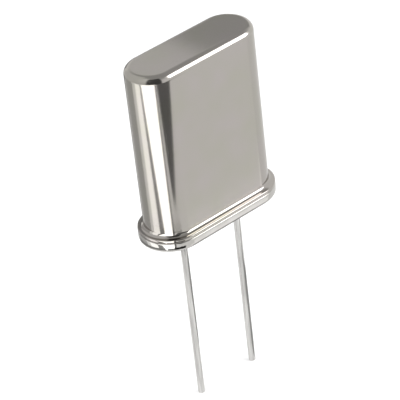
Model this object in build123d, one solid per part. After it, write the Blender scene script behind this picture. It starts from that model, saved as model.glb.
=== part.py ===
from build123d import *

import os

# Quartz crystal unit in a tall resistance-welded metal can with two wire leads.
# The origin is at the centre of the base's underside, the seating plane. +Z runs up through
# the can, X runs along the row of leads and Y through the can's thickness. Sizes are in mm.

# ---- Outline shared by the base and the can's flange ---------------------------------------
FLANGE_LENGTH = 11.05
FLANGE_WIDTH = 4.60

# ---- Header base -----------------------------------------------------------------------------
BASE_THICKNESS = 0.70
BASE_LOWER_RADIUS = 0.25
BASE_UPPER_RADIUS = 0.06
PLATEAU_RISE = 0.50
PLATEAU_CLEARANCE = 0.10
PLATEAU_EDGE_RADIUS = 0.12

# ---- Can -------------------------------------------------------------------------------------
OVERALL_HEIGHT = 13.20
CAN_WALL = 0.28
FLANGE_OVERHANG = 0.43
FLANGE_EDGE_RADIUS = 0.08
BEND_RADIUS = 0.29
MOUTH_RADIUS = 0.30
TOP_RADIUS = 0.50

# ---- Leads and their glass seals -------------------------------------------------------------
LEAD_PITCH = 4.88
LEAD_DIAMETER = 0.48
LEAD_LENGTH = 13.80
LEAD_TIP_CHAMFER = 0.06
SWAGE_GROWTH = 0.04
SEAL_DIAMETER = 1.70
SEAL_DISH = 0.12
SEAL_CREEP = 0.10
POST_THICKNESS = 0.24
POST_WIDTH = 0.60
POST_SHOULDER = 0.35
POST_FLAT = 0.85

# ---- Spring clips ----------------------------------------------------------------------------
CLIP_THICKNESS = 0.10
CLIP_WIDTH = 0.90
CLIP_FOOT_INSET = 0.08
CLIP_SPLAY_RISE = 1.40
CLIP_BEND_RADIUS = 0.45
CLIP_END_MARGIN = 0.35
SLOT_SIDE_CLEARANCE = 0.04
SLOT_END_CLEARANCE = 0.10

# ---- Quartz blank, electrodes and cement -----------------------------------------------------
BLANK_THICKNESS = 0.17
BLANK_RIM_BITE = 0.14
BLANK_ABOVE_POSTS = 0.55
BLANK_END_CLEARANCE = 0.80
BLANK_TOP_CLEARANCE = 0.60
ELECTRODE_DIAMETER = 4.50
ELECTRODE_FILM = 0.02
TAB_WIDTH = 0.90
TAB_RIM_MARGIN = 0.30
CEMENT_RADIUS = 0.50

# ---- Sizes that follow -----------------------------------------------------------------------
END_SPACING = FLANGE_LENGTH - FLANGE_WIDTH
FLANGE_RADIUS = FLANGE_WIDTH / 2
CAN_RADIUS = FLANGE_RADIUS - FLANGE_OVERHANG
CAVITY_RADIUS = CAN_RADIUS - CAN_WALL
PLATEAU_RADIUS = CAVITY_RADIUS - PLATEAU_CLEARANCE
FLANGE_TOP = BASE_THICKNESS + CAN_WALL
CAVITY_TOP = OVERALL_HEIGHT - CAN_WALL
PLATEAU_TOP = BASE_THICKNESS + PLATEAU_RISE
SEAL_TOP = PLATEAU_TOP + SEAL_CREEP
SEAL_RADIUS = SEAL_DIAMETER / 2
LEAD_X = LEAD_PITCH / 2
LEAD_RADIUS = LEAD_DIAMETER / 2
SWAGE_RADIUS = LEAD_RADIUS + SWAGE_GROWTH
FLAT_BOTTOM = SEAL_TOP + POST_SHOULDER
POST_TOP = FLAT_BOTTOM + POST_FLAT
BLANK_ROOM_ACROSS = END_SPACING + 2 * CAVITY_RADIUS - 2 * BLANK_END_CLEARANCE
BLANK_ROOM_ABOVE = CAVITY_TOP - BLANK_TOP_CLEARANCE - POST_TOP - BLANK_ABOVE_POSTS
BLANK_RADIUS = min(BLANK_ROOM_ACROSS, BLANK_ROOM_ABOVE) / 2
BLANK_CENTRE_Z = POST_TOP + BLANK_ABOVE_POSTS + BLANK_RADIUS
CLIP_FOOT_X = LEAD_X + (POST_THICKNESS + CLIP_THICKNESS) / 2
CLIP_ARM_X = BLANK_RADIUS - BLANK_RIM_BITE + CLIP_THICKNESS / 2
RIM_HALF_CHORD = (BLANK_RADIUS**2 - (BLANK_RADIUS - BLANK_RIM_BITE) ** 2) ** 0.5
SLOT_LENGTH = 2 * (RIM_HALF_CHORD + SLOT_END_CLEARANCE)
SLOT_WIDTH = BLANK_THICKNESS + 2 * SLOT_SIDE_CLEARANCE
CLIP_TOP = BLANK_CENTRE_Z + SLOT_LENGTH / 2 + CLIP_END_MARGIN


def section(*corners):
    """Return a flat face in the XZ plane from corners given as (x, z, corner radius)."""
    points = [(x, 0, z) for x, z, _ in corners]
    radii = [radius for _, _, radius in corners]
    return make_face(FilletPolyline(*points, radius=radii, close=True))


def turned(*corners):
    """Return the solid turned about Z from a half section."""
    return revolve(section(*corners), Axis.Z, 360)


def oval_block(radius, bottom, top):
    """Return a block with fully rounded ends, of one end radius, between two heights."""
    outline = SlotOverall(END_SPACING + 2 * radius, 2 * radius)
    return Pos(0, 0, bottom) * extrude(outline, top - bottom)


def face_at(solid, height):
    """Return the flat level face of a solid that lies at one height."""
    level_faces = solid.faces().filter_by(Plane.XY)
    return level_faces.sort_by(lambda face: abs(face.center().Z - height))[0]


def make_can():
    """Return the drawn can, closed at the top, with its welding flange round the mouth."""
    body = oval_block(CAN_RADIUS, BASE_THICKNESS, OVERALL_HEIGHT)
    body = fillet(face_at(body, OVERALL_HEIGHT).edges(), TOP_RADIUS)
    shell = body + oval_block(FLANGE_RADIUS, BASE_THICKNESS, FLANGE_TOP)
    shell = fillet(face_at(shell, FLANGE_TOP).inner_wires().edges(), BEND_RADIUS)
    shell = fillet(face_at(shell, FLANGE_TOP).outer_wire().edges(), FLANGE_EDGE_RADIUS)
    shell = fillet(face_at(shell, BASE_THICKNESS).edges(), FLANGE_EDGE_RADIUS)
    cavity = oval_block(CAVITY_RADIUS, BASE_THICKNESS, CAVITY_TOP)
    cavity = fillet(face_at(cavity, CAVITY_TOP).edges(), TOP_RADIUS - CAN_WALL)
    shell -= cavity
    return fillet(face_at(shell, BASE_THICKNESS).inner_wires().edges(), MOUTH_RADIUS)


def make_base():
    """Return the header base: a flanged plate with a plateau and two holes for the seals."""
    plate = oval_block(FLANGE_RADIUS, 0, BASE_THICKNESS)
    plate = fillet(face_at(plate, 0).edges(), BASE_LOWER_RADIUS)
    plate = fillet(face_at(plate, BASE_THICKNESS).edges(), BASE_UPPER_RADIUS)
    plateau = oval_block(PLATEAU_RADIUS, BASE_THICKNESS, PLATEAU_TOP)
    plateau = fillet(face_at(plateau, PLATEAU_TOP).edges(), PLATEAU_EDGE_RADIUS)
    hole = extrude(Circle(SEAL_RADIUS), PLATEAU_TOP)
    return plate + plateau - Pos(LEAD_X, 0, 0) * hole - Pos(-LEAD_X, 0, 0) * hole


def make_seal():
    """Return the right glass seal: dished below, creeping up the lead above."""
    bead = turned(
        (LEAD_RADIUS, 0, 0),
        (SEAL_RADIUS, SEAL_DISH, 0),
        (SEAL_RADIUS, PLATEAU_TOP, 0),
        (SWAGE_RADIUS, SEAL_TOP, 0),
    )
    return Pos(LEAD_X, 0, 0) * bead


def make_lead():
    """Return the right lead: a round wire, swaged in the glass and flattened inside the can."""
    wire = turned(
        (0, -LEAD_LENGTH, 0),
        (LEAD_RADIUS - LEAD_TIP_CHAMFER, -LEAD_LENGTH, 0),
        (LEAD_RADIUS, LEAD_TIP_CHAMFER - LEAD_LENGTH, 0),
        (LEAD_RADIUS, 0, 0),
        (SWAGE_RADIUS, SEAL_TOP, 0),
        (0, SEAL_TOP, 0),
    )
    round_end = Pos(0, 0, SEAL_TOP) * Circle(SWAGE_RADIUS)
    flat_end = Pos(0, 0, FLAT_BOTTOM) * Rectangle(POST_THICKNESS, POST_WIDTH)
    shoulder = loft([round_end, flat_end])
    blade = extrude(flat_end, POST_FLAT)
    return Pos(LEAD_X, 0, 0) * (wire + shoulder + blade)


def make_clip():
    """Return the right clip: a ribbon from the post's flat out to the blank's rim, slotted."""
    path = FilletPolyline(
        (CLIP_FOOT_X, 0, FLAT_BOTTOM + CLIP_FOOT_INSET),
        (CLIP_FOOT_X, 0, POST_TOP),
        (CLIP_ARM_X, 0, POST_TOP + CLIP_SPLAY_RISE),
        (CLIP_ARM_X, 0, CLIP_TOP),
        radius=CLIP_BEND_RADIUS,
    )
    start = Plane(origin=path @ 0, x_dir=(1, 0, 0), z_dir=path % 0)
    ribbon = sweep(start * Rectangle(CLIP_THICKNESS, CLIP_WIDTH), path)
    across = Plane(origin=(CLIP_ARM_X, 0, BLANK_CENTRE_Z), x_dir=(0, 0, 1), z_dir=(1, 0, 0))
    slot = extrude(across * SlotOverall(SLOT_LENGTH, SLOT_WIDTH), CLIP_THICKNESS, both=True)
    return ribbon - slot


def make_blank():
    """Return the round quartz blank, standing on edge between the clips."""
    plane = Plane(origin=(0, 0, BLANK_CENTRE_Z), z_dir=(0, -1, 0))
    return extrude(plane * Circle(BLANK_RADIUS), BLANK_THICKNESS / 2, both=True)


def make_electrode():
    """Return the metal film on the blank's front face, with its tab towards the left clip."""
    face = Plane(origin=(0, -BLANK_THICKNESS / 2, BLANK_CENTRE_Z), x_dir=(-1, 0, 0), z_dir=(0, -1, 0))
    tab_length = BLANK_RADIUS - TAB_RIM_MARGIN
    tab = Pos(tab_length / 2, 0) * Rectangle(tab_length, TAB_WIDTH)
    outline = Circle(ELECTRODE_DIAMETER / 2) + tab
    return extrude(face * outline, ELECTRODE_FILM)


def make_cement(around):
    """Return the right dab of cement, shaped by the pieces that it wraps."""
    dab = Pos(CLIP_ARM_X, 0, BLANK_CENTRE_Z) * Sphere(CEMENT_RADIUS)
    for piece in around:
        dab -= piece
    return dab


def make_parts():
    """Return every sub-part by the name of its node."""
    blank = make_blank()
    electrode_front = make_electrode()
    electrode_back = Rot(0, 0, 180) * electrode_front
    clip = make_clip()
    cement = make_cement([clip, blank, electrode_back])
    right_side = {
        "glass_seal": make_seal(),
        "lead": make_lead(),
        "clip": clip,
        "cement": cement,
    }
    parts = {
        "can": make_can(),
        "base": make_base(),
        "quartz_blank": blank,
        "electrode_front": electrode_front,
        "electrode_back": electrode_back,
    }
    for name, right in right_side.items():
        parts[name + "_right"] = right
        parts[name + "_left"] = Rot(0, 0, 180) * right
    return parts


def main():
    """Write each sub-part to its own STEP file."""
    os.makedirs("parts", exist_ok=True)
    for name, shape in make_parts().items():
        shape.label = name
        export_step(shape, f"parts/{name}.step")


if __name__ == "__main__":
    main()
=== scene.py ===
"""Looks of a two-lead quartz crystal unit in a tall welded metal can, built round its CAD frame."""

import logging
import math
from collections.abc import Callable
from dataclasses import dataclass, field
from enum import Enum

import bpy
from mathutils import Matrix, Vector


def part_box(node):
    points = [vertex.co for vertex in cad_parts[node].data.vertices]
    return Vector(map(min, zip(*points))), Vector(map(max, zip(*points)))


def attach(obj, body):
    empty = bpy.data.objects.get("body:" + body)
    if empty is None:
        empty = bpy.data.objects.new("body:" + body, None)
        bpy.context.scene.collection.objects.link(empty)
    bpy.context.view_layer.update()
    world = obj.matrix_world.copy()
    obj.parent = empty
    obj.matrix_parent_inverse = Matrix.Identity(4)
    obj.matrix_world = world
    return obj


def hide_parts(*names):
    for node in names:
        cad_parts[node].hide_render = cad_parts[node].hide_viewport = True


MM = 0.001
BODY = "root"

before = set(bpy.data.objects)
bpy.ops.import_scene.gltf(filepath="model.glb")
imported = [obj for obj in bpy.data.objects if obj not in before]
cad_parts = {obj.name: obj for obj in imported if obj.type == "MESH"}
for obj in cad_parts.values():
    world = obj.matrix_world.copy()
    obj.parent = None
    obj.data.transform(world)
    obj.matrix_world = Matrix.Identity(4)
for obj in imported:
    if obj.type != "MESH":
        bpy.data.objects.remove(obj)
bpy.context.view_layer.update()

logging.basicConfig(level=logging.INFO, format="%(message)s")
log = logging.getLogger("crystal_unit")


# ---- Small geometry helpers ------------------------------------------------------------------

# Directions round a section's corner, in degrees, and a full turn.
OUT = 0
UP = 90
INWARD = 180
DOWN = 270
TURN = 360
SHARP_ANGLE = 30
NORMAL_WEIGHT = 100


@dataclass(frozen=True)
class Ring:
    """One ring of a turned form: its radius and its height, in metres."""

    radius: float
    height: float


def quarter(centre: Ring, radius: float, start: float, end: float, steps: int = 10) -> list[Ring]:
    """Work out the rings of a round corner.

    Args:
        centre: The corner's centre, as a radius and a height.
        radius: The corner's own radius, in metres.
        start: Angle of its first ring, in degrees, from outwards towards up.
        end: Angle of its last ring.
        steps: How many flats make up the corner.

    Returns:
        The corner's rings, in order.
    """
    rings = []
    for step in range(steps + 1):
        angle = math.radians(start + (end - start) * step / steps)
        reach = radius * math.cos(angle)
        rise = radius * math.sin(angle)
        rings.append(Ring(centre.radius + reach, centre.height + rise))
    return rings


def select_where(piece: bpy.types.Object, test: Callable[[Vector], bool]) -> None:
    """Select the vertices of a piece that pass a test, and stay in edit mode.

    Args:
        piece: The piece, in edit mode.
        test: Says of a vertex's place whether the vertex is selected.
    """
    bpy.ops.mesh.select_mode(type="VERT")
    bpy.ops.mesh.select_all(action="DESELECT")
    bpy.ops.object.mode_set(mode="OBJECT")
    for vertex in piece.data.vertices:
        vertex.select = test(vertex.co)
    bpy.ops.object.mode_set(mode="EDIT")


def turn_profile(name: str, rings: list[Ring], segments: int) -> bpy.types.Object:
    """Make a closed turned form by extruding and resizing a circle from ring to ring.

    Args:
        name: The new piece's name.
        rings: The profile, from one closed end to the other.
        segments: Vertices in each ring.

    Returns:
        The new object, at the origin.
    """
    bpy.ops.object.select_all(action="DESELECT")
    first = rings[0]
    half_step = (0, 0, math.pi / segments)
    bpy.ops.mesh.primitive_circle_add(
        vertices=segments, radius=first.radius, location=(0, 0, first.height), rotation=half_step
    )
    piece = bpy.context.object
    piece.name = name
    bpy.ops.object.transform_apply(location=True, rotation=True, scale=True)
    bpy.ops.object.mode_set(mode="EDIT")
    bpy.ops.mesh.select_all(action="SELECT")
    for here, there in zip(rings, rings[1:]):
        rise = there.height - here.height
        growth = there.radius / here.radius
        bpy.ops.mesh.extrude_region_move(TRANSFORM_OT_translate={"value": (0, 0, rise)})
        bpy.ops.transform.resize(value=(growth, growth, 1), center_override=(0, 0, there.height))
    bpy.ops.mesh.select_all(action="SELECT")
    bpy.ops.mesh.fill_holes(sides=0)
    bpy.ops.mesh.select_all(action="SELECT")
    bpy.ops.mesh.normals_make_consistent(inside=False)
    bpy.ops.object.mode_set(mode="OBJECT")
    return piece


def stretch_oval(piece: bpy.types.Object, spacing: float) -> None:
    """Draw the two halves of a turned form apart along X, so that it becomes an oval.

    Args:
        piece: The turned form, centred on the origin.
        spacing: Distance to leave between the centres of the two round ends.
    """
    bpy.ops.object.mode_set(mode="EDIT")
    select_where(piece, lambda place: place.x > 0)
    bpy.ops.transform.translate(value=(spacing / 2, 0, 0))
    select_where(piece, lambda place: place.x < 0)
    bpy.ops.transform.translate(value=(-spacing / 2, 0, 0))
    bpy.ops.object.mode_set(mode="OBJECT")


def pick(piece: bpy.types.Object) -> None:
    """Select one object alone and make it the active one.

    Args:
        piece: The object to pick.
    """
    bpy.ops.object.select_all(action="DESELECT")
    piece.select_set(True)
    bpy.context.view_layer.objects.active = piece


def apply_modifier(piece: bpy.types.Object, kind: str, **settings: object) -> None:
    """Add one modifier to a piece and apply it.

    Args:
        piece: The piece to change.
        kind: The modifier's type.
        **settings: The modifier's settings, by name.
    """
    pick(piece)
    modifier = piece.modifiers.new(kind.lower(), kind)
    for setting, value in settings.items():
        setattr(modifier, setting, value)
    bpy.ops.object.modifier_apply(modifier=modifier.name)


def smooth(piece: bpy.types.Object, angle: float = SHARP_ANGLE) -> None:
    """Shade a piece smooth and keep its flats flat.

    Args:
        piece: The piece to shade.
        angle: Edges sharper than this stay sharp, in degrees.
    """
    pick(piece)
    bpy.ops.object.shade_smooth_by_angle(angle=math.radians(angle))
    apply_modifier(piece, "WEIGHTED_NORMAL", keep_sharp=True, weight=NORMAL_WEIGHT)


def move_mesh(piece: bpy.types.Object, offset: tuple[float, float, float]) -> None:
    """Move a piece by moving its mesh, so that its object stays at the origin.

    Args:
        piece: The piece to move.
        offset: How far it goes along each axis, in metres.
    """
    pick(piece)
    piece.location = offset
    bpy.ops.object.transform_apply(location=True, rotation=False, scale=False)


def join(pieces: list[bpy.types.Object], name: str) -> bpy.types.Object:
    """Join several meshes into the first one and name it.

    Args:
        pieces: The meshes to join.
        name: The joined piece's name.

    Returns:
        The joined piece.
    """
    pick(pieces[0])
    for piece in pieces[1:]:
        piece.select_set(True)
    bpy.ops.object.join()
    pieces[0].name = name
    return pieces[0]


def copy_piece(piece: bpy.types.Object, name: str) -> bpy.types.Object:
    """Copy a finished piece together with its mesh.

    Args:
        piece: The piece to copy.
        name: The copy's name.

    Returns:
        The copy, which shares nothing but its materials with the first piece.
    """
    twin = piece.copy()
    twin.data = piece.data.copy()
    twin.name = name
    bpy.context.collection.objects.link(twin)
    return twin


def dress(piece: bpy.types.Object, material: bpy.types.Material) -> None:
    """Give a piece one material all over."""
    piece.data.materials.clear()
    piece.data.materials.append(material)


def hand_over(piece: bpy.types.Object, node: str) -> None:
    """Let a finished piece ride on the body, stand for its CAD node and hide that node.

    Args:
        piece: The finished piece.
        node: The CAD node that it stands for.
    """
    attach(piece, BODY)
    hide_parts(node)
    log.info("built %s for node %s: %d faces", piece.name, node, len(piece.data.polygons))


# ---- Shared shader effects -------------------------------------------------------------------


class Effect(Enum):
    """The shader node groups that the finishes share."""

    MOTTLE = "surface_mottle"
    GRAIN = "fine_grain"
    MARKS = "handling_marks"


def new_group(effect: Effect, inputs: dict[str, float], output: str) -> bpy.types.NodeTree:
    """Start a node group with a vector input, some numbers and one output.

    Args:
        effect: Which shared effect the group holds.
        inputs: The names of its number inputs, with their usual values.
        output: The name of its one output.

    Returns:
        The group, with its input and output nodes in place.
    """
    group = bpy.data.node_groups.new(effect.value, "ShaderNodeTree")
    group.interface.new_socket("Vector", in_out="INPUT", socket_type="NodeSocketVector")
    for name, value in inputs.items():
        socket = group.interface.new_socket(name, in_out="INPUT", socket_type="NodeSocketFloat")
        socket.default_value = value
    group.interface.new_socket(output, in_out="OUTPUT", socket_type="NodeSocketFloat")
    group.nodes.new("NodeGroupInput")
    group.nodes.new("NodeGroupOutput")
    return group


def stretched_noise(group: bpy.types.NodeTree, detail: float, roughness: float) -> bpy.types.Node:
    """Add a noise texture whose coordinates the group's Stretch input draws out along Z.

    Args:
        group: The node group to add it to.
        detail: How many finer layers the noise has.
        roughness: How strong the finer layers are.

    Returns:
        The noise node.
    """
    source = group.nodes["Group Input"]
    squeeze = group.nodes.new("ShaderNodeCombineXYZ")
    squeeze.inputs["X"].default_value = 1
    squeeze.inputs["Y"].default_value = 1
    scaled = group.nodes.new("ShaderNodeVectorMath")
    scaled.operation = "MULTIPLY"
    noise = group.nodes.new("ShaderNodeTexNoise")
    noise.inputs["Detail"].default_value = detail
    noise.inputs["Roughness"].default_value = roughness
    group.links.new(source.outputs["Stretch"], squeeze.inputs["Z"])
    group.links.new(source.outputs["Vector"], scaled.inputs[0])
    group.links.new(squeeze.outputs["Vector"], scaled.inputs[1])
    group.links.new(scaled.outputs["Vector"], noise.inputs["Vector"])
    group.links.new(source.outputs["Scale"], noise.inputs["Scale"])
    return noise


def limit_range(
    group: bpy.types.NodeTree, noise: bpy.types.Node, low: float, high: float
) -> bpy.types.Node:
    """Spread the part of a noise between two levels over 0 to 1.

    Args:
        group: The node group that holds the noise.
        noise: The noise node.
        low: The level that becomes 0.
        high: The level that becomes 1.

    Returns:
        The node that spreads it.
    """
    spread = group.nodes.new("ShaderNodeMapRange")
    spread.inputs["From Min"].default_value = low
    spread.inputs["From Max"].default_value = high
    group.links.new(noise.outputs["Fac"], spread.inputs["Value"])
    return spread


def build_mottle() -> None:
    """Build broad soft patches, where plating differs slightly in tone."""
    group = new_group(Effect.MOTTLE, {"Scale": 500, "Stretch": 1}, "Mask")
    noise = stretched_noise(group, detail=2, roughness=0.45)
    spread = limit_range(group, noise, low=0.32, high=0.68)
    group.links.new(spread.outputs["Result"], group.nodes["Group Output"].inputs["Mask"])


def build_grain() -> None:
    """Build the very fine relief of rolled or drawn metal."""
    group = new_group(Effect.GRAIN, {"Scale": 6000, "Stretch": 1}, "Height")
    noise = stretched_noise(group, detail=4, roughness=0.6)
    group.links.new(noise.outputs["Fac"], group.nodes["Group Output"].inputs["Height"])


def build_marks() -> None:
    """Build sparse fine rubs from handling, drawn out along one axis."""
    group = new_group(Effect.MARKS, {"Scale": 1500, "Stretch": 0.08}, "Mask")
    noise = stretched_noise(group, detail=3, roughness=0.7)
    spread = limit_range(group, noise, low=0.62, high=0.74)
    group.links.new(spread.outputs["Result"], group.nodes["Group Output"].inputs["Mask"])


def build_effects() -> None:
    """Build every shared effect once."""
    build_mottle()
    build_grain()
    build_marks()


@dataclass
class Nodes:
    """A material's node tree with its shader, and shorthand for placing shared effects."""

    material: bpy.types.Material

    @property
    def tree(self) -> bpy.types.NodeTree:
        """The node tree."""
        return self.material.node_tree

    @property
    def shader(self) -> bpy.types.Node:
        """The Principled shader."""
        return self.tree.nodes["Principled BSDF"]

    def place(self, effect: Effect, vector: bpy.types.NodeSocket, **values: float) -> bpy.types.NodeSocket:
        """Place a shared effect.

        Args:
            effect: Which effect.
            vector: The coordinates that it reads.
            **values: Values for its number inputs, by name.

        Returns:
            The effect's output socket.
        """
        node = self.tree.nodes.new("ShaderNodeGroup")
        node.node_tree = bpy.data.node_groups[effect.value]
        self.tree.links.new(vector, node.inputs["Vector"])
        for name, value in values.items():
            node.inputs[name].default_value = value
        return node.outputs[0]

    def object_place(self) -> bpy.types.NodeSocket:
        """Return the piece's own Object coordinates."""
        return self.tree.nodes.new("ShaderNodeTexCoord").outputs["Object"]

    def blend(self, mask: bpy.types.NodeSocket, first: tuple, second: tuple) -> bpy.types.NodeSocket:
        """Mix two colours by a mask.

        Args:
            mask: Where the second colour shows.
            first: The colour where the mask is 0.
            second: The colour where the mask is 1.

        Returns:
            The mixed colour's socket.
        """
        mix = self.tree.nodes.new("ShaderNodeMix")
        mix.data_type = "RGBA"
        self.tree.links.new(mask, mix.inputs["Factor"])
        mix.inputs["A"].default_value = (*first, 1)
        mix.inputs["B"].default_value = (*second, 1)
        return mix.outputs["Result"]

    def span(self, mask: bpy.types.NodeSocket, low: float, high: float) -> bpy.types.NodeSocket:
        """Spread a mask of 0 to 1 over a range of values.

        Args:
            mask: The mask to spread.
            low: The value where the mask is 0.
            high: The value where the mask is 1.

        Returns:
            The spread value's socket.
        """
        spread = self.tree.nodes.new("ShaderNodeMapRange")
        spread.inputs["To Min"].default_value = low
        spread.inputs["To Max"].default_value = high
        self.tree.links.new(mask, spread.inputs["Value"])
        return spread.outputs["Result"]

    def scale_above(
        self,
        value: bpy.types.NodeSocket,
        place: bpy.types.NodeSocket,
        fade: tuple[float, float],
        share: float,
    ) -> bpy.types.NodeSocket:
        """Reduce a value below a height.

        Args:
            value: The value to reduce.
            place: The piece's coordinates.
            fade: The heights where the reduced value ends and the full value begins, in metres.
            share: The share of the value that is left below.

        Returns:
            The reduced value's socket.
        """
        split = self.tree.nodes.new("ShaderNodeSeparateXYZ")
        spread = self.tree.nodes.new("ShaderNodeMapRange")
        spread.inputs["From Min"].default_value = fade[0]
        spread.inputs["From Max"].default_value = fade[1]
        spread.inputs["To Min"].default_value = share
        product = self.tree.nodes.new("ShaderNodeMath")
        product.operation = "MULTIPLY"
        self.tree.links.new(place, split.inputs["Vector"])
        self.tree.links.new(split.outputs["Z"], spread.inputs["Value"])
        self.tree.links.new(value, product.inputs[0])
        self.tree.links.new(spread.outputs["Result"], product.inputs[1])
        return product.outputs["Value"]

    def relief(self, height: bpy.types.NodeSocket, distance: float, strength: float) -> None:
        """Feed a height into the shader's normal through a bump.

        Args:
            height: The relief's height, from 0 to 1.
            distance: The depth of the whole relief, in metres.
            strength: How much of it shows.
        """
        bump = self.tree.nodes.new("ShaderNodeBump")
        bump.inputs["Strength"].default_value = strength
        bump.inputs["Distance"].default_value = distance
        self.tree.links.new(height, bump.inputs["Height"])
        self.tree.links.new(bump.outputs["Normal"], self.shader.inputs["Normal"])

    def feed(self, source: bpy.types.NodeSocket, socket: str) -> None:
        """Feed a value or a colour into one of the shader's sockets."""
        self.tree.links.new(source, self.shader.inputs[socket])


def new_material(name: str) -> Nodes:
    """Make a material with a Principled shader.

    Args:
        name: The material's name.

    Returns:
        The material's nodes.
    """
    material = bpy.data.materials.new(name)
    material.use_nodes = True
    return Nodes(material)


# ---- Finishes --------------------------------------------------------------------------------


@dataclass(frozen=True)
class MetalFinish:
    """Plated, tinned or bare metal with patches of tone, a fine relief and light rubs.

    Sizes of the patterns are in repeats per metre. Below its polish line, a height in metres,
    the metal keeps only the polish share of its roughness, as it does where a tool ironed it.
    """

    name: str
    tone: tuple[float, float, float]
    second_tone: tuple[float, float, float]
    roughness: tuple[float, float]
    mottle_scale: float = 450
    mottle_stretch: float = 1
    grain_scale: float = 7000
    grain_stretch: float = 1
    grain_depth: float = 0.004 * MM
    grain_strength: float = 0.25
    marks_scale: float = 2200
    polish_line: float = 0
    polish_share: float = 1
    polish_fade: float = 0.5 * MM

    def make(self) -> bpy.types.Material:
        """Build the finish's material.

        Returns:
            The material.
        """
        nodes = new_material(self.name)
        place = nodes.object_place()
        mottle = nodes.place(Effect.MOTTLE, place, Scale=self.mottle_scale, Stretch=self.mottle_stretch)
        marks = nodes.place(Effect.MARKS, place, Scale=self.marks_scale)
        grain = nodes.place(Effect.GRAIN, place, Scale=self.grain_scale, Stretch=self.grain_stretch)
        nodes.shader.inputs["Metallic"].default_value = 1
        nodes.feed(nodes.blend(mottle, self.tone, self.second_tone), "Base Color")
        roughness = nodes.span(marks, *self.roughness)
        if self.polish_share < 1:
            fade = (self.polish_line, self.polish_line + self.polish_fade)
            roughness = nodes.scale_above(roughness, place, fade, self.polish_share)
        nodes.feed(roughness, "Roughness")
        nodes.relief(grain, self.grain_depth, self.grain_strength)
        return nodes.material


@dataclass(frozen=True)
class SealGlassFinish:
    """Dark fused glass, glossy, with faint clouding."""

    name: str = "seal_glass"
    tone: tuple[float, float, float] = (0.035, 0.060, 0.066)
    cloud: tuple[float, float, float] = (0.075, 0.105, 0.110)
    roughness: tuple[float, float] = (0.08, 0.20)
    cloud_scale: float = 2600
    grain_scale: float = 3500
    grain_depth: float = 0.01 * MM
    grain_strength: float = 0.15
    refraction: float = 1.52
    gloss: float = 0.4

    def make(self) -> bpy.types.Material:
        """Build the glass's material.

        Returns:
            The material.
        """
        nodes = new_material(self.name)
        place = nodes.object_place()
        mottle = nodes.place(Effect.MOTTLE, place, Scale=self.cloud_scale)
        grain = nodes.place(Effect.GRAIN, place, Scale=self.grain_scale)
        nodes.feed(nodes.blend(mottle, self.tone, self.cloud), "Base Color")
        nodes.feed(nodes.span(mottle, *self.roughness), "Roughness")
        nodes.shader.inputs["IOR"].default_value = self.refraction
        nodes.shader.inputs["Coat Weight"].default_value = self.gloss
        nodes.relief(grain, self.grain_depth, self.grain_strength)
        return nodes.material


@dataclass(frozen=True)
class QuartzFinish:
    """Clear quartz with a lapped, faintly frosted surface."""

    name: str = "lapped_quartz"
    tone: tuple[float, float, float] = (0.90, 0.93, 0.95)
    frost: tuple[float, float, float] = (0.97, 0.98, 0.98)
    roughness: tuple[float, float] = (0.12, 0.24)
    frost_scale: float = 900
    grain_scale: float = 16000
    grain_depth: float = 0.002 * MM
    grain_strength: float = 0.2
    refraction: float = 1.54

    def make(self) -> bpy.types.Material:
        """Build the quartz's material.

        Returns:
            The material.
        """
        nodes = new_material(self.name)
        place = nodes.object_place()
        mottle = nodes.place(Effect.MOTTLE, place, Scale=self.frost_scale)
        grain = nodes.place(Effect.GRAIN, place, Scale=self.grain_scale)
        nodes.feed(nodes.blend(mottle, self.tone, self.frost), "Base Color")
        nodes.feed(nodes.span(mottle, *self.roughness), "Roughness")
        nodes.shader.inputs["IOR"].default_value = self.refraction
        nodes.shader.inputs["Transmission Weight"].default_value = 1
        nodes.relief(grain, self.grain_depth, self.grain_strength)
        return nodes.material


@dataclass(frozen=True)
class CementFinish:
    """Conductive cement: a dull binder full of fine silver flakes."""

    name: str = "silver_cement"
    binder: tuple[float, float, float] = (0.34, 0.33, 0.31)
    flake: tuple[float, float, float] = (0.66, 0.65, 0.62)
    roughness: tuple[float, float] = (0.65, 0.38)
    flake_scale: float = 16000
    grain_scale: float = 9000
    grain_depth: float = 0.02 * MM
    grain_strength: float = 0.5
    metal_share: float = 0.6

    def make(self) -> bpy.types.Material:
        """Build the cement's material.

        Returns:
            The material.
        """
        nodes = new_material(self.name)
        place = nodes.object_place()
        flakes = nodes.place(Effect.MOTTLE, place, Scale=self.flake_scale)
        grain = nodes.place(Effect.GRAIN, place, Scale=self.grain_scale)
        nodes.shader.inputs["Metallic"].default_value = self.metal_share
        nodes.feed(nodes.blend(flakes, self.binder, self.flake), "Base Color")
        nodes.feed(nodes.span(flakes, *self.roughness), "Roughness")
        nodes.relief(grain, self.grain_depth, self.grain_strength)
        return nodes.material


CAN_PLATE = MetalFinish(
    name="nickel_plated_can",
    tone=(0.428, 0.414, 0.366),
    second_tone=(0.446, 0.418, 0.396),
    roughness=(0.155, 0.28),
    polish_line=1.3 * MM,
    polish_share=0.4,
)
BASE_PLATE = MetalFinish(
    name="nickel_plated_base",
    tone=(0.520, 0.508, 0.480),
    second_tone=(0.570, 0.556, 0.530),
    roughness=(0.07, 0.13),
    mottle_scale=1400,
)
TINNED = MetalFinish(
    name="tinned_wire",
    tone=(0.500, 0.492, 0.476),
    second_tone=(0.720, 0.710, 0.692),
    roughness=(0.10, 0.18),
    mottle_scale=5200,
    mottle_stretch=0.07,
    grain_scale=9000,
    grain_stretch=0.12,
)
CLIP_SHEET = MetalFinish(
    name="clip_nickel_silver",
    tone=(0.560, 0.535, 0.470),
    second_tone=(0.610, 0.590, 0.540),
    roughness=(0.20, 0.32),
    grain_stretch=0.05,
)
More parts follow.
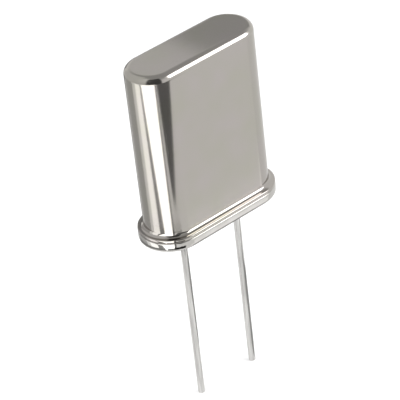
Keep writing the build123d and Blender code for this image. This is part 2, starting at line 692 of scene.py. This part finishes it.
SILVER_FILM = MetalFinish(
    name="silver_film",
    tone=(0.820, 0.810, 0.780),
    second_tone=(0.870, 0.865, 0.850),
    roughness=(0.22, 0.30),
    grain_scale=20000,
)


# ---- Sub-assemblies --------------------------------------------------------------------------


class Side(Enum):
    """The two sides of the unit, each with one lead, seal, clip and dab of cement."""

    LEFT = "left"
    RIGHT = "right"

    def node(self, kind: str) -> str:
        """Return the name of this side's node of one kind."""
        return f"{kind}_{self.value}"


def place_on_sides(piece: bpy.types.Object, kind: str) -> None:
    """Put a finished piece on the left, a copy of it on the right, and hand both over.

    Args:
        piece: The piece, modelled round the Z axis.
        kind: The kind of CAD node that each one stands for.
    """
    first_name = piece.name
    twin = copy_piece(piece, f"{first_name}_{Side.RIGHT.value}")
    piece.name = f"{first_name}_{Side.LEFT.value}"
    for side, placed in zip(Side, (piece, twin)):
        low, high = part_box(side.node(kind))
        move_mesh(placed, ((low.x + high.x) / 2, 0, 0))
        hand_over(placed, side.node(kind))


@dataclass
class Outline:
    """The oval that the base and the can share, measured on the CAD frame."""

    low: Vector = field(default_factory=lambda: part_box("can")[0])
    high: Vector = field(default_factory=lambda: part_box("can")[1])

    @property
    def radius(self) -> float:
        """Radius of the flange's round ends."""
        return (self.high.y - self.low.y) / 2

    @property
    def spacing(self) -> float:
        """Distance between the centres of the two round ends."""
        return (self.high.x - self.low.x) - 2 * self.radius


@dataclass
class Can:
    """The drawn can: its outer skin, welding flange, mouth and cavity."""

    outline: Outline
    wall: float = 0.28 * MM
    overhang: float = 0.43 * MM
    flange_edge: float = 0.08 * MM
    bend: float = 0.29 * MM
    mouth: float = 0.30 * MM
    top_edge: float = 0.50 * MM
    segments: int = 160

    def profile(self) -> list[Ring]:
        """Work out the can's section.

        Returns:
            Its rings, from the cavity's ceiling down, round the mouth and the flange to the top.
        """
        bottom = self.outline.low.z
        top = self.outline.high.z
        flange = self.outline.radius
        outer = flange - self.overhang
        inner = outer - self.wall
        ceiling = top - self.wall
        flange_top = bottom + self.wall
        mouth = self.mouth
        bend = self.bend
        edge = self.flange_edge
        top_edge = self.top_edge
        inner_edge = top_edge - self.wall
        rings = quarter(Ring(inner - inner_edge, ceiling - inner_edge), inner_edge, UP, OUT, steps=6)
        rings += quarter(Ring(inner + mouth, bottom + mouth), mouth, INWARD, DOWN, steps=8)
        rings += quarter(Ring(flange - edge, bottom + edge), edge, DOWN - TURN, OUT, steps=5)
        rings += quarter(Ring(flange - edge, flange_top - edge), edge, OUT, UP, steps=5)
        rings += quarter(Ring(outer + bend, flange_top + bend), bend, DOWN, INWARD, steps=12)
        rings += quarter(Ring(outer - top_edge, top - top_edge), top_edge, OUT, UP, steps=18)
        return rings

    def build(self) -> None:
        """Model the can, finish it and hand it over."""
        shell = turn_profile("can_shell", self.profile(), self.segments)
        stretch_oval(shell, self.outline.spacing)
        smooth(shell)
        dress(shell, CAN_PLATE.make())
        hand_over(shell, "can")


@dataclass
class Seals:
    """The glass beads that hold the leads in the base, dished below and creeping up above."""

    lead_radius: float
    swage_radius: float
    dish: float = 0.12 * MM
    creep: float = 0.10 * MM
    dish_bend: float = 0.6
    creep_bend: float = 0.5
    steps: int = 10
    segments: int = 64

    def profile(self) -> list[Ring]:
        """Work out a bead's section.

        Returns:
            Its rings, from the lead's underside outwards, up and back to the lead.
        """
        low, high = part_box(Side.LEFT.node("glass_seal"))
        radius = (high.x - low.x) / 2
        rings = []
        for step in range(self.steps + 1):
            share = step / self.steps
            reach = (radius - self.lead_radius) * share
            rings.append(Ring(self.lead_radius + reach, low.z + self.dish * share ** self.dish_bend))
        for step in range(self.steps + 1):
            share = 1 - step / self.steps
            reach = (radius - self.swage_radius) * share
            rings.append(Ring(self.swage_radius + reach, high.z - self.creep * share ** self.creep_bend))
        return rings

    def build(self) -> None:
        """Model one bead, copy it to the other side and hand both over."""
        bead = turn_profile("glass_bead", self.profile(), self.segments)
        smooth(bead)
        dress(bead, SealGlassFinish().make())
        place_on_sides(bead, "glass_seal")


@dataclass
class Base:
    """The header base: a flanged plate with a plateau, and the two glass beads in it."""

    outline: Outline
    lower_edge: float = 0.25 * MM
    upper_edge: float = 0.06 * MM
    plateau_inset: float = 0.81 * MM
    plateau_edge: float = 0.12 * MM
    drill_depth: float = 4 * MM
    drill_segments: int = 64
    segments: int = 160

    def profile(self) -> list[Ring]:
        """Work out the plate's section.

        Returns:
            Its rings, from the underside's edge up to the plateau's.
        """
        low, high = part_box("base")
        top = self.outline.low.z
        flange = self.outline.radius
        plateau = flange - self.plateau_inset
        edge = self.plateau_edge
        lower = self.lower_edge
        upper = self.upper_edge
        rings = quarter(Ring(flange - lower, low.z + lower), lower, DOWN, TURN, steps=12)
        rings += quarter(Ring(flange - upper, top - upper), upper, OUT, UP, steps=4)
        rings += [Ring(plateau, top)]
        rings += quarter(Ring(plateau - edge, high.z - edge), edge, OUT, UP, steps=6)
        return rings

    def drill(self, plate: bpy.types.Object, node: str) -> None:
        """Cut the hole for one glass bead.

        Args:
            plate: The plate.
            node: The CAD node of the bead.
        """
        low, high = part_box(node)
        radius = (high.x - low.x) / 2
        bpy.ops.object.select_all(action="DESELECT")
        middle = (low.x + high.x) / 2
        bpy.ops.mesh.primitive_cylinder_add(
            vertices=self.drill_segments, radius=radius, depth=self.drill_depth, location=(middle, 0, 0)
        )
        drill = bpy.context.object
        apply_modifier(plate, "BOOLEAN", operation="DIFFERENCE", object=drill, solver="EXACT")
        bpy.data.objects.remove(drill)

    def build(self) -> None:
        """Model the plate with its holes, finish it and hand it over."""
        plate = turn_profile("base_plate", self.profile(), self.segments)
        stretch_oval(plate, self.outline.spacing)
        for side in Side:
            self.drill(plate, side.node("glass_seal"))
        smooth(plate)
        dress(plate, BASE_PLATE.make())
        hand_over(plate, "base")


@dataclass
class Leads:
    """The two tinned leads: round wires with sheared tips, flattened at their inner ends."""

    radius: float = 0.24 * MM
    swage: float = 0.04 * MM
    tip_edge: float = 0.06 * MM
    tip_dish: float = 0.015 * MM
    tip_dish_share: float = 0.45
    blade_width: float = 0.60 * MM
    blade_thickness: float = 0.24 * MM
    blade_edge: float = 0.03 * MM
    blade_edge_steps: int = 3
    shoulder: float = 0.35 * MM
    segments: int = 48

    @property
    def swage_radius(self) -> float:
        """Radius of the wire where the glass holds it."""
        return self.radius + self.swage

    def profile(self) -> list[Ring]:
        """Work out the round wire's section.

        Returns:
            Its rings, from the dished tip up to the top of the glass.
        """
        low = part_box(Side.LEFT.node("lead"))[0]
        seal_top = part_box(Side.LEFT.node("glass_seal"))[1].z
        tip = self.tip_edge
        rings = [Ring(self.radius * self.tip_dish_share, low.z + self.tip_dish)]
        rings += quarter(Ring(self.radius - tip, low.z + tip), tip, DOWN, TURN, steps=5)
        rings += [Ring(self.radius, low.z / 2), Ring(self.radius, 0), Ring(self.swage_radius, seal_top)]
        return rings

    def wire(self) -> bpy.types.Object:
        """Model the round wire and press its end flat.

        Returns:
            The wire, on the Z axis.
        """
        seal_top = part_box(Side.LEFT.node("glass_seal"))[1].z
        wire = turn_profile("lead_wire", self.profile(), self.segments)
        bpy.ops.object.mode_set(mode="EDIT")
        select_where(wire, lambda place: place.z > seal_top - self.tip_edge)
        bpy.ops.mesh.extrude_region_move(TRANSFORM_OT_translate={"value": (0, 0, self.shoulder)})
        flatten = self.blade_thickness / 2 / self.swage_radius
        spread = self.blade_width / 2 / self.swage_radius
        bpy.ops.transform.resize(value=(flatten, spread, 1), center_override=(0, 0, seal_top))
        bpy.ops.object.mode_set(mode="OBJECT")
        return wire

    def blade(self) -> bpy.types.Object:
        """Model the flat that the clip is welded to.

        Returns:
            The flat, on the Z axis.
        """
        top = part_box(Side.LEFT.node("lead"))[1].z
        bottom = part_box(Side.LEFT.node("glass_seal"))[1].z + self.shoulder
        bpy.ops.object.select_all(action="DESELECT")
        bpy.ops.mesh.primitive_cube_add(size=1, location=(0, 0, (bottom + top) / 2))
        blade = bpy.context.object
        blade.scale = (self.blade_thickness, self.blade_width, top - bottom)
        bpy.ops.object.transform_apply(location=True, rotation=True, scale=True)
        apply_modifier(blade, "BEVEL", width=self.blade_edge, segments=self.blade_edge_steps)
        return blade

    def build(self) -> None:
        """Model one lead, copy it to the other side and hand both over."""
        lead = join([self.wire(), self.blade()], "lead_wire")
        smooth(lead)
        dress(lead, TINNED.make())
        place_on_sides(lead, "lead")


@dataclass
class Resonator:
    """What the sealed can holds: the quartz blank, its films, the clips and the cement."""

    clip_finish: MetalFinish = CLIP_SHEET
    film_finish: MetalFinish = SILVER_FILM
    quartz_finish: QuartzFinish = QuartzFinish()
    cement_finish: CementFinish = CementFinish()

    def build(self) -> None:
        """Dress the inner CAD nodes."""
        clip = self.clip_finish.make()
        film = self.film_finish.make()
        cement = self.cement_finish.make()
        finishes = {"quartz_blank": self.quartz_finish.make()}
        for node in ("electrode_front", "electrode_back"):
            finishes[node] = film
        for side in Side:
            finishes[side.node("clip")] = clip
            finishes[side.node("cement")] = cement
        for node, material in finishes.items():
            dress(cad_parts[node], material)
            log.info("dressed inner node %s with %s", node, material.name)


# ---- Studio ----------------------------------------------------------------------------------

# Heights of the level cards, in millimetres.
OVERHEAD = 22
NEAR_FLOOR = -13.7


@dataclass(frozen=True)
class Card:
    """A card that stands round the object and shows only in its metal.

    The angles are seen from above, from the front towards the left, in degrees, about the
    centre of the can's left end. Heights are in millimetres.
    """

    name: str
    level: float
    top_from: float
    top_to: float
    foot_from: float
    foot_to: float
    top: float = 8
    foot: float = -12
    distance: float = 15
    steps: int = 12
    twin: bool = False

    def corner(self, centre: Vector, angle: float, height: float) -> Vector:
        """Work out one corner of the card.

        Args:
            centre: The middle of the round end that the card stands round.
            angle: The corner's angle, in degrees.
            height: The corner's height, in millimetres.

        Returns:
            The corner's place.
        """
        turn = math.radians(angle)
        away = Vector((-math.sin(turn), -math.cos(turn), 0))
        return centre + away * (self.distance * MM) + Vector((0, 0, height * MM))

    def build(self, centre: Vector, mirror: int) -> None:
        """Stand the card up.

        Args:
            centre: The middle of the round end that the card stands round.
            mirror: 1 for the card itself, -1 for its twin on the opposite side.
        """
        places = []
        for step in range(self.steps + 1):
            share = step / self.steps
            foot = self.foot_from + (self.foot_to - self.foot_from) * share
            top = self.top_from + (self.top_to - self.top_from) * share
            for angle, height in ((foot, self.foot), (top, self.top)):
                corner = self.corner(centre, angle, height)
                places.append((corner.x * mirror, corner.y * mirror, corner.z))
        faces = [(2 * i, 2 * i + 2, 2 * i + 3, 2 * i + 1) for i in range(self.steps)]
        mesh = bpy.data.meshes.new(self.name)
        mesh.from_pydata(places, [], faces)
        card = bpy.data.objects.new(self.name if mirror > 0 else self.name + "_twin", mesh)
        bpy.context.collection.objects.link(card)
        show_in_metal_only(card)
        dress(card, glow_material(self.name + "_tone", self.level))


@dataclass(frozen=True)
class Panel:
    """A level card that shows only in the object's metal, with sizes in millimetres."""

    name: str
    level: float
    height: float
    corners: tuple[tuple[float, float], ...]

    def build(self) -> None:
        """Put the panel up."""
        places = [Vector((x, y, self.height)) * MM for x, y in self.corners]
        mesh = bpy.data.meshes.new(self.name)
        mesh.from_pydata(places, [], [(0, 1, 2, 3)])
        panel = bpy.data.objects.new(self.name, mesh)
        bpy.context.collection.objects.link(panel)
        show_in_metal_only(panel)
        dress(panel, glow_material(self.name + "_tone", self.level))


def show_in_metal_only(card: bpy.types.Object) -> None:
    """Hide a card from everything but reflections.

    Args:
        card: The card to hide.
    """
    card.visible_camera = False
    card.visible_diffuse = False
    card.visible_shadow = False
    card.visible_transmission = False


def glow_material(name: str, level: float) -> bpy.types.Material:
    """Make a plain emitting material.

    Args:
        name: The material's name.
        level: Its grey level.

    Returns:
        The material.
    """
    material = bpy.data.materials.new(name)
    material.use_nodes = True
    tree = material.node_tree
    tree.nodes.clear()
    glow = tree.nodes.new("ShaderNodeEmission")
    glow.inputs["Color"].default_value = (level, level, level, 1)
    output = tree.nodes.new("ShaderNodeOutputMaterial")
    tree.links.new(glow.outputs["Emission"], output.inputs["Surface"])
    return material


@dataclass(frozen=True)
class Lamp:
    """A soft square lamp, aimed at the object."""

    name: str
    place: tuple[float, float, float]
    size: float
    power: float

    def build(self, target: Vector) -> None:
        """Hang the lamp and aim it.

        Args:
            target: The place that it points at.
        """
        data = bpy.data.lights.new(self.name, "AREA")
        data.shape = "SQUARE"
        data.size = self.size * MM
        data.energy = self.power
        lamp = bpy.data.objects.new(self.name, data)
        bpy.context.collection.objects.link(lamp)
        lamp.location = Vector(self.place) * MM
        lamp.rotation_euler = (target - lamp.location).to_track_quat("-Z", "Y").to_euler()


@dataclass
class Studio:
    """The floor, the white surroundings, the lamps and the cards."""

    floor_half: float = 1500 * MM
    floor_white: float = 0.93
    floor_roughness: float = 0.9
    floor_sheen: float = 0.1
    sky: tuple[tuple[float, float], ...] = (
        (0.0, 1.0),
        (0.40, 0.92),
        (0.56, 0.70),
        (0.74, 0.50),
        (1.0, 0.44),
    )
    # A card's numbers are its level, its top edge's two angles and its foot's two angles.
    cards: tuple[Card, ...] = (
        Card("front_dark", 0.17, -33, 31, 11, 20, foot=-4.8, twin=True),
        Card("front_line", 0.25, 32, 36, 31, 37),
        Card("front_bright", 3.0, 37, 92, 38, 60),
        Card("left_dark", 0.40, 92, 96, 61, 84, twin=True),
        Card("left_light", 1.9, 96, 115, 84, 113, twin=True),
        Card("left_middle", 1.1, 115, 129, 113, 127),
        Card("left_grey", 0.55, 129, 178, 127, 178),
        Card("back_dark", 0.32, 186, 240, 186, 240, top=15),
        Card("right_grey", 0.92, 241, 298, 241, 298, top=10),
        Card("corner_dark", 0.03, 1, 37, 1, 37, top=-7.2, distance=14.6),
        Card("foot_grey", 0.30, 37, 178, 37, 178, top=-7.9, distance=14.8),
        Card("high_dark", 0.07, 8, 66, 8, 66, top=40, foot=8),
        Card("high_grey", 0.78, 66, 178, 66, 178, top=60, foot=8),
    )
    panels: tuple[Panel, ...] = (
        Panel("back_right_panel", 0.46, OVERHEAD, ((9.9, 2), (28, 2), (28, 22), (9.3, 22))),
        Panel("right_floor_panel", 0.22, NEAR_FLOOR, ((2.8, 0.4), (40, 0.4), (40, 40), (2.8, 40))),
        Panel("front_light_panel", 1.35, NEAR_FLOOR, ((2, -14.1), (4, -19.4), (30, -19.4), (30, -14.1))),
        Panel("front_floor_panel", 0.38, NEAR_FLOOR, ((2.7, -0.3), (4.5, -14), (40, -14), (40, 0.4))),
    )
    # A lamp's numbers are its place and its size in millimetres, and its power in watts.
    lamps: tuple[Lamp, ...] = (
        Lamp("key", (62, -66, 56), 60, 0.055),
        Lamp("fill", (-90, -20, 90), 60, 0.05),
    )

    def floor(self) -> None:
        """Lay the pale floor under the leads' tips."""
        bpy.ops.object.select_all(action="DESELECT")
        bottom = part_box(Side.LEFT.node("lead"))[0].z
        bpy.ops.mesh.primitive_plane_add(size=2 * self.floor_half, location=(0, 0, bottom))
        floor = bpy.context.object
        floor.name = "floor"
        material = bpy.data.materials.new("floor_white")
        material.use_nodes = True
        tree = material.node_tree
        shader = tree.nodes["Principled BSDF"]
        white = self.floor_white
        shader.inputs["Base Color"].default_value = (white, white, white, 1)
        shader.inputs["Roughness"].default_value = self.floor_roughness
        shader.inputs["Specular IOR Level"].default_value = self.floor_sheen
        glow = tree.nodes.new("ShaderNodeEmission")
        path = tree.nodes.new("ShaderNodeLightPath")
        mix = tree.nodes.new("ShaderNodeMixShader")
        tree.links.new(path.outputs["Is Glossy Ray"], mix.inputs["Fac"])
        tree.links.new(shader.outputs["BSDF"], mix.inputs[1])
        tree.links.new(glow.outputs["Emission"], mix.inputs[2])
        tree.links.new(mix.outputs["Shader"], tree.nodes["Material Output"].inputs["Surface"])
        dress(floor, material)

    def surroundings(self) -> None:
        """Set white surroundings that metal sees as darker overhead."""
        world = bpy.data.worlds.new("studio")
        bpy.context.scene.world = world
        world.use_nodes = True
        tree = world.node_tree
        tree.nodes.clear()
        place = tree.nodes.new("ShaderNodeTexCoord")
        split = tree.nodes.new("ShaderNodeSeparateXYZ")
        ramp = tree.nodes.new("ShaderNodeValToRGB")
        for spot, _ in self.sky[1:-1]:
            ramp.color_ramp.elements.new(spot)
        for element, (spot, level) in zip(ramp.color_ramp.elements, self.sky):
            element.position = spot
            element.color = (level, level, level, 1)
        path = tree.nodes.new("ShaderNodeLightPath")
        mix = tree.nodes.new("ShaderNodeMix")
        mix.data_type = "RGBA"
        mix.inputs["A"].default_value = (1, 1, 1, 1)
        background = tree.nodes.new("ShaderNodeBackground")
        output = tree.nodes.new("ShaderNodeOutputWorld")
        tree.links.new(place.outputs["Object"], split.inputs["Vector"])
        tree.links.new(split.outputs["Z"], ramp.inputs["Fac"])
        tree.links.new(path.outputs["Is Glossy Ray"], mix.inputs["Factor"])
        tree.links.new(ramp.outputs["Color"], mix.inputs["B"])
        tree.links.new(mix.outputs["Result"], background.inputs["Color"])
        tree.links.new(background.outputs["Background"], output.inputs["Surface"])

    def build(self, outline: Outline) -> None:
        """Set up everything that isn't part of the object.

        Args:
            outline: The object's oval outline.
        """
        self.floor()
        self.surroundings()
        middle = (outline.low + outline.high) / 2
        for lamp in self.lamps:
            lamp.build(middle)
        left_end = Vector((-outline.spacing / 2, 0, 0))
        for card in self.cards:
            card.build(left_end, 1)
            if card.twin:
                card.build(left_end, -1)
        for panel in self.panels:
            panel.build()


@dataclass(frozen=True)
class Viewpoint:
    """The camera: where it stands round the object, how it leans and its lens.

    Angles are in degrees and lengths in millimetres.
    """

    azimuth: float = -38.57
    elevation: float = 32.98
    lean: float = -6.775
    distance: float = 171.0
    lens: float = 227.75
    sensor: float = 36
    nearest: float = 1
    aim_height: float = 1.0
    aside: float = -0.453
    above: float = 0.057

    def build(self) -> None:
        """Place the camera."""
        azimuth = math.radians(self.azimuth)
        elevation = math.radians(self.elevation)
        lean = math.radians(self.lean)
        level = Vector((math.cos(azimuth), math.sin(azimuth), 0))
        outward = Vector((math.sin(azimuth), -math.cos(azimuth), 0))
        back = outward * math.cos(elevation) + Vector((0, 0, math.sin(elevation)))
        upright = back.cross(level)
        right = level * math.cos(lean) + upright * math.sin(lean)
        up = upright * math.cos(lean) - level * math.sin(lean)
        data = bpy.data.cameras.new("camera")
        data.lens = self.lens
        data.sensor_width = self.sensor
        data.clip_start = self.nearest * MM
        camera = bpy.data.objects.new("camera", data)
        bpy.context.collection.objects.link(camera)
        place = Vector((0, 0, self.aim_height)) + back * self.distance
        place += right * self.aside + up * self.above
        turn = camera.matrix_world.to_3x3()
        turn.col[0], turn.col[1], turn.col[2] = right, up, back
        camera.matrix_world = turn.to_4x4()
        camera.location = place * MM
        bpy.context.scene.camera = camera


def main() -> None:
    """Build the object, then the studio round it."""
    bpy.context.scene.view_settings.view_transform = "Standard"
    build_effects()
    outline = Outline()
    Can(outline).build()
    Base(outline).build()
    leads = Leads()
    leads.build()
    Seals(leads.radius, leads.swage_radius).build()
    Resonator().build()
    Studio().build(outline)
    Viewpoint().build()


if __name__ == "__main__":
    main()
